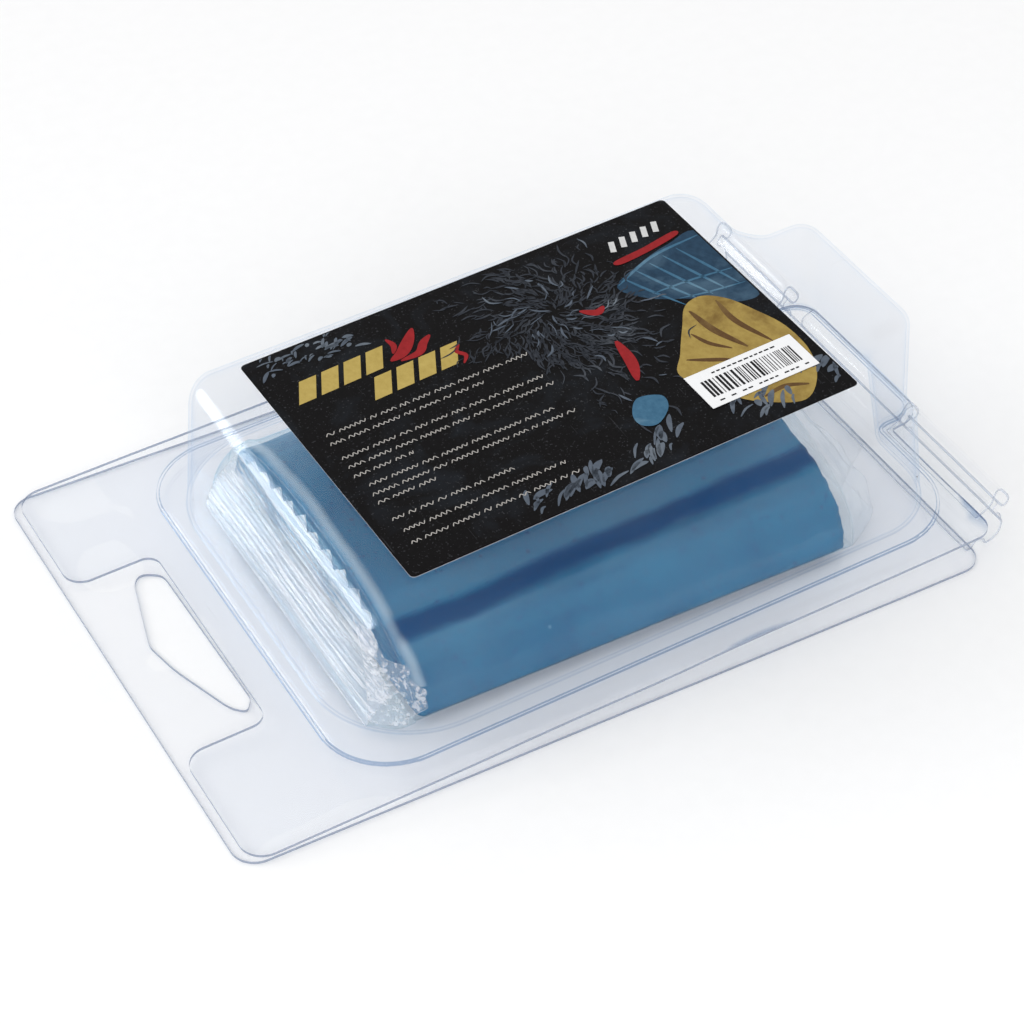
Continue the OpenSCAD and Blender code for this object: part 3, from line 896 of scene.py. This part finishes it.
def make_bar():
    sy, sz = bar_section(150)
    k = len(sy)
    mid_z = BH * 0.42
    ends = [(1.5 * (1 - math.sin(a)), 1.5 * (1 - math.cos(a))) for a in np.linspace(0, math.pi / 2, 9)]
    stations = ([(BX0 + dx, inset) for dx, inset in ends[::-1]]
        + [(x, 0.0) for x in np.linspace(BX0 + 1.5, BX1 - 1.5, 92)[1:-1]]
        + [(BX1 - dx, inset) for dx, inset in ends])
    rings = [np.stack([np.full(k, x), sy * (1 - inset / BHALF),
        mid_z + (sz - mid_z) * (1 - inset / BH * 1.6)], 1)
        for x, inset in stations]

    def cap(first, sign):
        """Smaller rings that close an end, a little domed."""
        c = np.array([first[0, 0], 0, mid_z])
        return [c + (first - c) * f + [sign * 0.25 * (1 - f * f), 0, 0]
            for f in (0.93, 0.84, 0.74, 0.62, 0.5, 0.38, 0.26, 0.14, 0.03)]

    g = np.array(cap(rings[0], -1)[::-1] + rings + cap(rings[-1], 1))
    nrm = ring_normals(g)
    x, y, z = g[..., 0], g[..., 1], g[..., 2]
    dent = 0.275 * (fbm(x / 15, y / 15, z / 15, 31) - 0.8) + 0.10 * noise(x / 4, y / 4, z / 4, 37)
    # shallow grooves that the knife and the film left
    dent = dent - 0.16 * ridge(y, -23.5 - 1.2 * noise(x / 20, 0, 0, 3), 0.9) - 0.10 * ridge(y, -28.3, 0.7)
    ragged = (smooth(BX1 - 2.6, BX1 - 0.6, x) * 0.22 * noise(x / 0.8, y / 0.9, z / 0.8, 41)
        + smooth(BX0 + 2.6, BX0 + 0.6, x) * 0.16 * noise(x / 0.8, y / 0.9, z / 0.8, 43))
    outward = nrm * np.sign((nrm * (g - np.array([(BX0 + BX1) / 2, 0, mid_z]))).sum(2, keepdims=True))
    g = g + outward * (np.minimum(dent, 0.05) * smooth(0.4, 2.5, z) + ragged)[..., None]
    g[..., 0] = np.clip(g[..., 0], BX0 - 0.2, BX1 + 0.2)
    g[..., 2] = np.maximum(g[..., 2] + BZ, BZ)
    rows = g.shape[0]
    faces = loft_faces(rows, k) + [tuple(range(k)), tuple(reversed(range((rows - 1) * k, rows * k)))]
    return build("clay_bar_putty", g.reshape(-1, 3), faces, [CLAY_MAT])


bar = make_bar()

# ---- film wrapper


def film_piece(name, g, mat=FILM_MAT, thick=FILM_PLY, flip=False, tube=True):
    """Film about a grid of points. A tube closes on its first column."""
    v, f, i = sheet_from_grid(np.concatenate([g, g[:, :1]], 1) if tube else g, thick, flip)
    return build(name, v, f, [mat, FILM_EDGE_MAT], i)


def grid_of(a, b):
    return np.meshgrid(a, b, indexing="ij")


def unit_grid(rows, cols):
    return grid_of(np.linspace(0, 1, rows), np.linspace(0, 1, cols))


def make_sleeve():
    sy, sz = bar_section(190)
    round_it = np.cumsum(np.concatenate([[0], np.hypot(np.diff(sy), np.diff(sz))]))
    X, A = grid_of(np.linspace(BX0 - 0.5, BX1 + 1.0, 130), round_it)
    g = np.stack([X, sy + 0 * X, sz + 0 * X], 2)
    nrm = ring_normals(g)
    nrm = nrm * np.sign((nrm * (g * [0, 1, 1] - [0, 0, BH * 0.4])).sum(2, keepdims=True))
    lift = 0.55 * creases(X, A, 51, 8, 11.0) ** 2 + 0.22 * np.maximum(0, noise(X / 9, A / 5, 0, 53))
    # long soft pleats that run from end to end on the near flank
    lift = lift + 0.30 * ridge(A, 9.5 - 1.5 * noise(X / 14, 1, 0, 57), 1.1)
    lift = lift + 0.22 * ridge(A, 5.0 - 1.2 * noise(X / 10, 4, 0, 59), 0.8)
    # a soft ridge along the hang edge, where the film is drawn down
    lift = lift + 0.42 * ridge(X, BX0 + 1.9 - 0.7 * noise(A / 16, 2, 0, 55), 0.85)
    g = g + nrm * (0.20 + smooth(0.3, 3.0, g[..., 2]) * lift)[..., None]
    g[..., 2] = np.maximum(g[..., 2] + BZ, film_foot)
    return film_piece("film_sleeve_sheet", g)


sleeve = make_sleeve()

# the seam under the bar: two plies lapped and pressed flat
SX, SW = grid_of(np.linspace(seam_lo[0] + 0.3, seam_hi[0] - 0.3, 90), np.linspace(seam_lo[1], seam_hi[1], 19))
seam_z = (seam_lo[2] + seam_hi[2]) / 2 + 0.02 * noise(SX / 3, SW / 3, 0, 63)
seam_z = seam_z + 0.035 * np.sin(SW * 2 * math.pi / 1.1)
seam_y = SW + 0.25 * noise(SX / 9, 0, 0, 61)
seam = film_piece("film_seam_strip", np.stack([SX, seam_y, seam_z], 2), FIN_MAT, 0.06, tube=False)


def make_hang_end():
    """The sleeve's hang end drawn down and flattened to the root of the fin, pleated where it narrows."""
    sy, sz = bar_section(170)
    foot_x = fin_lo[0] + 0.6
    T, A = unit_grid(46, len(sy))
    w = BHALF + 0.25 - (BHALF + 0.25 - 28.4) * smooth(0, 1, T)
    z = sz / BH * ((BH + 0.3) * (1 - T) ** 2.0 + 0.55)
    pleat = T * (1 - T) * 2.2 * creases(A * 90 + 6 * T, T * 14 + A * 22, 71, 6, 7.0) - 0.3 * T
    pleat = pleat * np.clip(z / 2.0, 0.0, 1.0)
    x = BX0 - 0.3 + (foot_x - BX0 + 0.3) * T ** 0.55 - pleat * 0.8
    z = np.maximum(z + pleat * 0.5 + film_foot - 0.05, film_foot)
    g = np.stack([np.maximum(x, foot_x - 0.4), sy / BHALF * w - 1.5 * T, z], 2)
    return film_piece("film_hang_wrap", g, flip=True)


hang_wrap = make_hang_end()


def make_fin():
    """Crimped fin: two plies pressed into fine ribs, cut to a zigzag along the top, its near end cut lower; the
    folded-over part is a piece of its own.
    """
    foot_x, foot_z = fin_lo[0] + 0.35, fin_lo[2] + 0.25
    y0, y1 = fin_lo[1], fin_hi[1]
    H, Y = grid_of(np.linspace(0, 1, 74), np.linspace(y0, y1, 240))
    tooth = np.abs(((Y + 0.35 * noise(Y / 6, 0, 0, 81)) / 4.4) % 1 - 0.5) * 2
    top = 1.0 - 0.11 * tooth - 0.02 * noise(Y / 3, 2, 0, 83)
    hh = H * top * (1 - 0.30 * smooth(y0 + 9.0, y0 + 1.5, Y))
    # the cut edge leans on the bar's hang end and follows its crown
    run = fin_hi[0] - 0.45 - foot_x
    climb = BZ + BH * (1 - np.abs(Y / BHALF) ** CROWN) ** (1 / CROWN) - 0.2 - foot_z
    length = np.hypot(run, climb)
    bow = 0.9 * np.sin(hh * math.pi) * (0.4 + 0.6 * noise(Y / 14, 1.1, 0, 85))
    rib = 0.11 * np.sin(hh * length * 2 * math.pi / 0.95) * smooth(0.05, 0.2, hh)
    crush = 0.9 * (creases(Y * 0.5, hh * length, 87, 7, 8.0) - 0.45) + 0.3 * noise(Y / 7, hh * 4, 0, 89)
    off = (bow + rib + crush * smooth(0, 0.3, hh) * 0.8) / length
    x = np.clip(foot_x + run * hh - climb * off, fin_lo[0] - 0.2, BX0 + 0.3)
    g = np.stack([x, Y, foot_z + climb * hh + run * off], 2)
    return film_piece("film_fin_crimped", g, FIN_MAT, 0.12, True, False)


fin = make_fin()


def make_fold_over():
    """The near end of the fin, turned back round the bar's corner, with its own cut teeth."""
    U, V = unit_grid(110, 46)

    def along(points):
        c = spline(points, 12) + [BX0, 0, BZ]
        d = np.concatenate([[0], np.cumsum(np.linalg.norm(np.diff(c, axis=0), axis=1))])
        t = np.linspace(0, d[-1], len(U))
        return np.stack([np.interp(t, d, c[:, k]) for k in range(3)], 1)[:, None]

    near = along([(-3.8, -20.0, 12.6), (-5.0, -25.0, 9.4), (-6.0, -28.0, 4.4),
        (-6.6, -29.4, fin_lo[2] + 0.6 - BZ)])
    cut = along([(-3.3, -21.0, 11.8), (-2.4, -24.8, 12.2), (-2.5, -27.4, 10.0), (0.5, -29.9, 8.4),
        (1.4, -32.1, 5.8), (2.9, -33.4, 4.1), (-1.6, -33.6, 0.6)])
    tooth = np.abs((U * 5.3) % 1 - 0.5) * 2
    g = near + (cut - near) * (V * (1.0 - 0.17 * tooth * smooth(0.0, 0.12, U)))[..., None]
    pleat = creases(U * 13, V * 6, 91, 6, 7.0) - 0.45
    away = np.sin(V * math.pi) ** 0.8
    g[..., 0] -= (0.5 + 0.4 * pleat) * away
    g[..., 1] -= (0.3 + 0.25 * pleat) * away
    g[..., 2] += 0.07 * np.sin((U * 26 + V * 5) * math.pi) * away
    g[..., 2] = np.maximum(g[..., 2], fin_lo[2] + 0.15)
    return film_piece("film_fin_fold_over", g, FIN_MAT, 0.10, tube=False)


fold_over = make_fold_over()


def make_tail():
    """The hinge end of the sleeve, gathered loosely behind the bar."""
    sy, sz = bar_section(150)
    T, A = unit_grid(52, len(sy))
    fold = 3.0 * T * (creases(A * 70, T * 16, 101, 9, 7.0) - 0.55) + 0.8 * T * noise(A * 18, T * 3, 0, 103)
    x = BX1 + 0.6 + (tail_hi[0] - BX1 - 1.0) * T ** 0.9 + fold * 0.9 * T
    y = sy / BHALF * (BHALF + 0.4) * (1 - 0.16 * T) * (1 - 0.012 * fold)
    z = sz / BH * (BH + 0.5) * (1 - 0.62 * T ** 1.4)
    z = np.maximum(z + np.clip(z / 2.0, 0, 1) * fold * 0.8 + BZ, film_foot)
    return film_piece("film_hinge_gather", np.stack([np.minimum(x, tail_hi[0] + 0.6), y, z], 2), TAIL_MAT)


tail = make_tail()


def make_leaf():
    """A stiff turned-up leaf of film at the hinge end, seen against the light."""
    U, V = unit_grid(44, 40)
    x = BX1 + 1.0 + 6.2 * U + 1.4 * V + 1.2 * (creases(U * 18, V * 20, 113, 6, 9.0) - 0.5)
    z = (BZ + 5.5 + 7.8 * U * (1 - 0.35 * V) + 1.6 * np.sin(V * math.pi)
        + 1.5 * (creases(U * 16, V * 24, 111, 6, 8.0) - 0.5))
    g = np.stack([np.minimum(x, tail_hi[0] + 0.5), -4.0 - 22.0 * V + 3.0 * U,
        np.minimum(z, tail_hi[2] + 1.0)], 2)
    return film_piece("film_hinge_leaf", g, TAIL_MAT, tube=False)


leaf = make_leaf()

# ---- label and patch

LABEL_AT = LID @ Matrix.Translation((label_u * MM, label_y * MM, LABEL_TOP * MM))
LABEL_AT = LABEL_AT @ Matrix.Rotation(TURN, 4, "Z")


def label_plate():
    out = densify(rect_line(-LABEL_L / 2, LABEL_L / 2, LABEL_W / 2, 0.9, 0, 8), 1.5)
    n = len(out)
    verts = np.vstack([np.column_stack([out * k, np.full(n, z)])
        for k, z in ((0.985, 0), (1, -0.02), (1, -0.09))])
    faces, index = [tuple(range(n)), tuple(reversed(range(2 * n, 3 * n)))], [0, 1]
    for k in range(n):
        k2 = (k + 1) % n
        faces += [(k, n + k, n + k2, k2), (n + k, 2 * n + k, 2 * n + k2, n + k2)]
        index += [0, 1]
    return build("label_sheet", verts, faces, [LABEL_MAT, LABEL_BACK_MAT], index, LABEL_AT, False)


label = label_plate()


def plates(name, shapes, mat, level, thick=0.012):
    """Closed outlines in label millimetres, as very thin plates at a level above the paper."""
    verts, faces, base = [], [], 0
    for s in shapes:
        s = np.asarray(s, float)
        if np.sum(s[:, 0] * np.roll(s[:, 1], -1) - np.roll(s[:, 0], -1) * s[:, 1]) < 0:
            s = s[::-1]
        n = len(s)
        verts += [np.column_stack([s, np.full(n, z)]) for z in (level + thick, level)]
        faces += [tuple(range(base, base + n)), tuple(reversed(range(base + n, base + 2 * n)))]
        for k in range(base, base + n):
            k2 = base + (k + 1 - base) % n
            faces.append((k, n + k, n + k2, k2))
        base += 2 * n
    return build(name, np.vstack(verts), faces, [mat], None, LABEL_AT, False)


def stroke(line, w0, w1, per=6):
    """A brush stroke along a line, w0 wide in its middle and w1 at its ends."""
    c = spline(line, per)
    t = unit(np.gradient(c, axis=0))
    nrm = np.stack([-t[:, 1], t[:, 0]], 1)
    w = (w1 + (w0 - w1) * np.sin(np.linspace(0, 1, len(c)) * math.pi) ** 0.7)[:, None] / 2
    return np.vstack([c + nrm * w, (c - nrm * w)[::-1]])


def flick(x, y, length, angle, w0, w1, rise):
    dx, dy = length * math.cos(angle), length * math.sin(angle)
    return stroke([(x, y), (x + 0.5 * dx, y + 0.5 * dy + rise), (x + dx, y + dy)], w0, w1, 4)


def box_line(x0, y0, x1, y1):
    return [(x0, y0), (x1, y0), (x1, y1), (x0, y1)]


rng = np.random.default_rng(4)
prints = []


def printed(name, shapes, mat, level):
    """Print on the label, kept off its edge."""
    limit = np.array([LABEL_L, LABEL_W]) / 2 - 0.35
    shapes = [np.clip(s, -limit, limit) for s in shapes]
    prints.append(plates("print_" + name, shapes, mat, level * INK_LEVEL))


# a painted scene of my own: a blue panel, a folded yellow cloth and a dark storm of strokes
panel = [(21, 12.5), (27, 15.6), (34, 17.6), (40.5, 17.4), (40.5, 0.4), (36, -1.5), (30, 3.2), (24, 7.2)]
printed("panel", [blob(panel)], BLUE_INK, 0)
rays = [stroke([(23 + 2.9 * k, 14.0 + 0.5 * k), (25.0 + 2.9 * k, 9.0), (28.0 + 2.6 * k, 2.6)], 0.55, 0.12)
    for k in range(5)]
printed("panel_lines", rays + [stroke([(21.5, 12.8), (30, 16.2), (39.5, 17.0)], 0.6, 0.2),
    stroke([(25, 8.0), (32, 7.6), (39.5, 6.6)], 0.45, 0.15),
    stroke([(28, 4.6), (33, 3.4), (39.3, 2.4)], 0.4, 0.1)], TEAL_INK, 1)
cloth = [(17.6, -12.0), (20.5, -7.2), (24.5, -1.6), (27.6, 2.4), (31.2, 3.2), (34.4, 0.4), (36.6, -4.6),
    (38.4, -10.4), (38.2, -17.5), (35.4, -23.6), (31.0, -27.0), (26.0, -24.6), (22.0, -20.4)]
printed("cloth", [blob(cloth)], CLOTH_INK, 2)
printed("cloth_folds", [stroke([(20.5, -9.0), (24.5, -11.5), (26.5, -12.6)], 0.9, 0.2),
    stroke([(27.5, 1.0), (28.2, -5), (30.5, -11.5)], 1.3, 0.3),
    stroke([(32.6, 1.0), (32.4, -5), (34.6, -12.5)], 1.1, 0.2),
    stroke([(26, -23.0), (30, -22.6), (33.5, -24.2)], 0.9, 0.3),
    stroke([(24.6, -4.0), (25.8, -7.5), (28.2, -10.5)], 0.8, 0.2)], BROWN_INK, 3)

swirl, gleam = [], []
for _ in range(1500):
    cx, cy = 7.5 + 9.5 * rng.normal(), 8.0 + 12.0 * rng.normal()
    over_rows = (cx < 1 and cy < 7.5) or (cx < 3 and cy < -3) or (cx > 17 and -22 < cy < -6)
    if over_rows or not (-9 < cx < 25 and -24 < cy < 26):
        continue
    r = math.hypot(cx - 9, cy - 13)
    if rng.uniform() < 0.25 + 0.5 * (r > 13):
        continue
    a = math.atan2(cy - 13, cx - 9) + 0.55 + 0.45 * rng.normal()
    ln = rng.uniform(1.2, 3.8)
    dx, dy = math.cos(a) * ln, math.sin(a) * ln
    bow = rng.uniform(-0.25, 0.25)
    s = stroke([(cx, cy), (cx + dx * 0.5 - dy * bow, cy + dy * 0.5 + dx * bow), (cx + dx, cy + dy)],
        rng.uniform(0.16, 0.46), 0.04, 3)
    (gleam if rng.uniform() < 0.05 + 0.10 * (r < 7) else swirl).append(s)
printed("swirl", swirl, FUR_INK, 4)
printed("swirl_light", gleam, STEEL_INK, 5)
corners = []
for _ in range(70):
    low = rng.uniform() < 0.55
    x = rng.uniform(-18, 12) if low else rng.uniform(18, 39)
    y = rng.uniform(-27.6, -23.5) + 0.16 * max(0.0, x) if low else rng.uniform(-27, -20)
    ln, a = rng.uniform(1.5, 4.5), rng.uniform(0.1, 1.4)
    corners.append(flick(x, y, ln, a, rng.uniform(0.4, 1.3), 0.15, 0.4))
for _ in range(46):
    corners.append(flick(rng.uniform(-39, -22), rng.uniform(22.5, 27.6), rng.uniform(0.8, 3.0),
        rng.uniform(-0.4, 1.2), rng.uniform(0.2, 0.8), 0.1, 0.2))
printed("corner_strokes", corners, STEEL_INK, 4)
vessel = [(6.4, -15.4), (9.0, -12.6), (12.6, -14.0), (12.0, -17.0), (8.6, -19.4), (6.2, -18.2)]
printed("vessel", [blob(vessel)], TEAL_INK, 6)
printed("accent", [stroke([(13.6, 1.0), (13.0, -4.4), (11.4, -9.0)], 2.0, 0.5),
    stroke([(12.6, 10.6), (14.8, 8.8), (16.6, 9.6)], 1.5, 0.3)], RED_INK, 6)

# the heading: two gold bands of even slanted stripes with red flicks over them
stripe = np.array([(0, 0), (3.1, 0.1), (5.6, 5.1), (2.5, 5.0)])
heading = [stripe + [x + 4.1 * k, y + 0.2 * k] for y, x in ((14.9, -36.2), (9.4, -25.6)) for k in range(4)]
printed("heading", heading, GOLD_INK, 1)
printed("plume", [stroke([(-19.0, 16.4), (-16.6, 17.2), (-14.4, 19.2), (-12.2, 21.8)], 2.2, 0.3),
    stroke([(-17.6, 15.6), (-14.2, 15.8), (-12.4, 17.6), (-10.6, 18.8)], 1.5, 0.3),
    stroke([(-17.8, 17.8), (-16.8, 19.6), (-17.2, 21.6)], 1.0, 0.2),
    stroke([(-9.4, 9.6), (-8.2, 11.2), (-9.0, 12.8), (-7.8, 14.2)], 0.8, 0.2)], RED_INK, 2)

# rows of fine wavy lines where the small print would be
rows = [(-36.1, 6.1, 36.3), (-36.5, 3.9, 27.4), (-36.5, 0.1, 36.8), (-36.6, -2.2, 36.7), (-36.9, -4.5, 10.5),
    (-35.8, -7.4, 32.7), (-36.4, -9.6, 36.0), (-36.6, -11.6, 10.2), (-36.5, -16.0, 22.4),
    (-36.2, -19.0, 28.3), (-36.5, -21.9, 29.9)]
waves = []
for x, y, length in rows:
    u = x
    while u < x + length - 0.8:
        w = min(rng.uniform(1.2, 5.2), x + length - u)
        n = max(3, int(w / 0.42))
        line = [(u + w * j / n, y + (0.34 if j % 2 else -0.34) * rng.uniform(0.7, 1.1)) for j in range(n + 1)]
        waves.append(stroke(line, 0.16, 0.14, 3))
        u += w + 0.62
printed("rows", waves, GREY_INK, 7)

# a plain mark in the upper right corner: pale slanted bars over a red band
lean = np.array([1.0, 2.6])
side = unit(lean)[::-1] * [-0.5, 0.5]
slanted = np.array([-side, lean - side, lean + side, side])
printed("mark", [slanted + [25.4 + 2.2 * k, 20.6 + 0.2 * k] for k in range(5)], PALE_INK, 7)
band = [(24.2, 18.4), (30.0, 19.0), (36.4, 20.0), (36.6, 18.8), (30.4, 17.6), (24.6, 17.2)]
printed("mark_band", [blob(band)], RED_INK, 7)

patch_x, patch_y, patch_z = (patch_lo + patch_hi) / 2
pu, pv = to_lid(patch_x, patch_z)[0] - label_u, patch_y - label_y
px, py = pu * math.cos(TURN) + pv * math.sin(TURN), pv * math.cos(TURN) - pu * math.sin(TURN)
patch_line = box_line(px - PATCH_L / 2, py - PATCH_W / 2, px + PATCH_L / 2, py + PATCH_W / 2)
patch = plates("patch_plate", [densify(patch_line, 2.0)], PATCH_MAT, 8 * INK_LEVEL, 0.05)
bars, x = [], px - PATCH_L / 2 + 1.6
while x < px + PATCH_L / 2 - 1.8:
    w = rng.choice([0.16, 0.16, 0.3, 0.45])
    bars.append(box_line(x, py - 2.1, x + w, py + 2.0))
    x += w + rng.choice([0.18, 0.22, 0.4])
for y, x, stop in ((py - 3.2, px - 8.0, px + 8.2), (py + 3.0, px - 5.6, px + 6.0)):
    while x < stop:
        w = rng.uniform(0.5, 0.9)
        bars.append(box_line(x, y - 0.16, x + w, y + 0.16))
        x += w + rng.choice([0.3, 0.3, 1.2])
patch_print = plates("patch_bars", bars, BLACK_INK, 0.155, 0.01)

# ---- what rides on what

for ob in [front, bead, label, patch, patch_print] + prints:
    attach(ob, "front")
for ob in (back, fold):
    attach(ob, "back")
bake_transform(web)
film = [sleeve, seam, hang_wrap, fin, fold_over, tail, leaf]
for ob in [bar] + film:
    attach(ob, "wrapped_bar")
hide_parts("front_shell")
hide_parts("front_hinge_bead")
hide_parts("back_shell")
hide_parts("back_hinge_fold")
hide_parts("hinge_web")
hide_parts("label")
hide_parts("barcode_patch")
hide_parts("clay_bar")
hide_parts("film_sleeve")
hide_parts("film_back_seam")
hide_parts("film_hang_fin")
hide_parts("film_hinge_tail")

# ---- stage, light and camera


def make_floor():
    n = 60
    xs = np.linspace(-900, 900, n)
    X, Y = grid_of(xs, xs)
    nd = new_material("floor_mat")
    col = nd.mix(nd.noise(nd.coords(), 300.0, 4.0), (0.93, 0.93, 0.93), (0.96, 0.96, 0.96))
    mat = nd.surface(nd.get("BsdfDiffuse", {"Color": col}))
    g = np.stack([X, Y, 0 * X - 0.02], 2)
    return build("floor", g.reshape(-1, 3), loft_faces(n, n, closed=False), [mat])


floor = make_floor()

# a white room with a soft dark side behind the camera
world = bpy.data.worlds.new("studio")
scene.world = world
room = Nodes(world, "OutputWorld")
dark_at = Vector((0.25, -0.78, 0.58)).normalized()
toward = room.get("VectorMath", {0: room.get("TexCoord", {}, "Generated"), 1: tuple(dark_at)}, "Value",
    operation="DOT_PRODUCT")
tone = room.ramp(toward, [(0.52, (1.0, 1.0, 1.0)), (0.88, (0.06, 0.065, 0.08))])
room.surface(room.get("Background", {0: tone, 1: 1.04}))


def area(name, at, size, power):
    li = bpy.data.lights.new(name, "AREA")
    li.shape = "RECTANGLE"
    li.size, li.size_y = size
    li.energy = power
    ob = bpy.data.objects.new(name, li)
    scene.collection.objects.link(ob)
    ob.location = at
    ob.rotation_euler = (-Vector(at)).to_track_quat("-Z", "Y").to_euler()
    return ob


area("key_far_left", (-0.85, 0.80, 0.44), (0.5, 0.32), 3.2)
# a bright card seen only in the mirror images, for the white line along the hang side of the tub
card = area("card_far_left", (-0.84, 0.80, 0.46), (0.45, 0.50), 3.6)
card.visible_diffuse = False
card.visible_transmission = False
# a broad front fill that lights the base and the clay but stays out of the mirror images
fill = area("front_fill", (-0.25, -1.0, 0.75), (1.3, 0.8), 8.5)
fill.visible_glossy = False

# the camera stands where the photograph was taken from
cam_data = bpy.data.cameras.new("camera")
cam = bpy.data.objects.new("camera", cam_data)
scene.collection.objects.link(cam)
cam_data.sensor_width = 36.0
cam_data.lens = 100.09
cam_data.clip_start = 0.01
cam_target = Vector((0.00247, 0.00317, 0))
az, el, dist = math.radians(-29.38), math.radians(42.07), 0.46575
toward_cam = Vector((math.sin(az) * math.cos(el), -math.cos(az) * math.cos(el), math.sin(el)))
cam.location = cam_target + dist * toward_cam
cam.rotation_euler = (cam_target - cam.location).to_track_quat("-Z", "Y").to_euler()
scene.camera = cam
scene.view_settings.view_transform = "Standard"
scene.cycles.transparent_max_bounces = 64
scene.cycles.max_bounces = 12
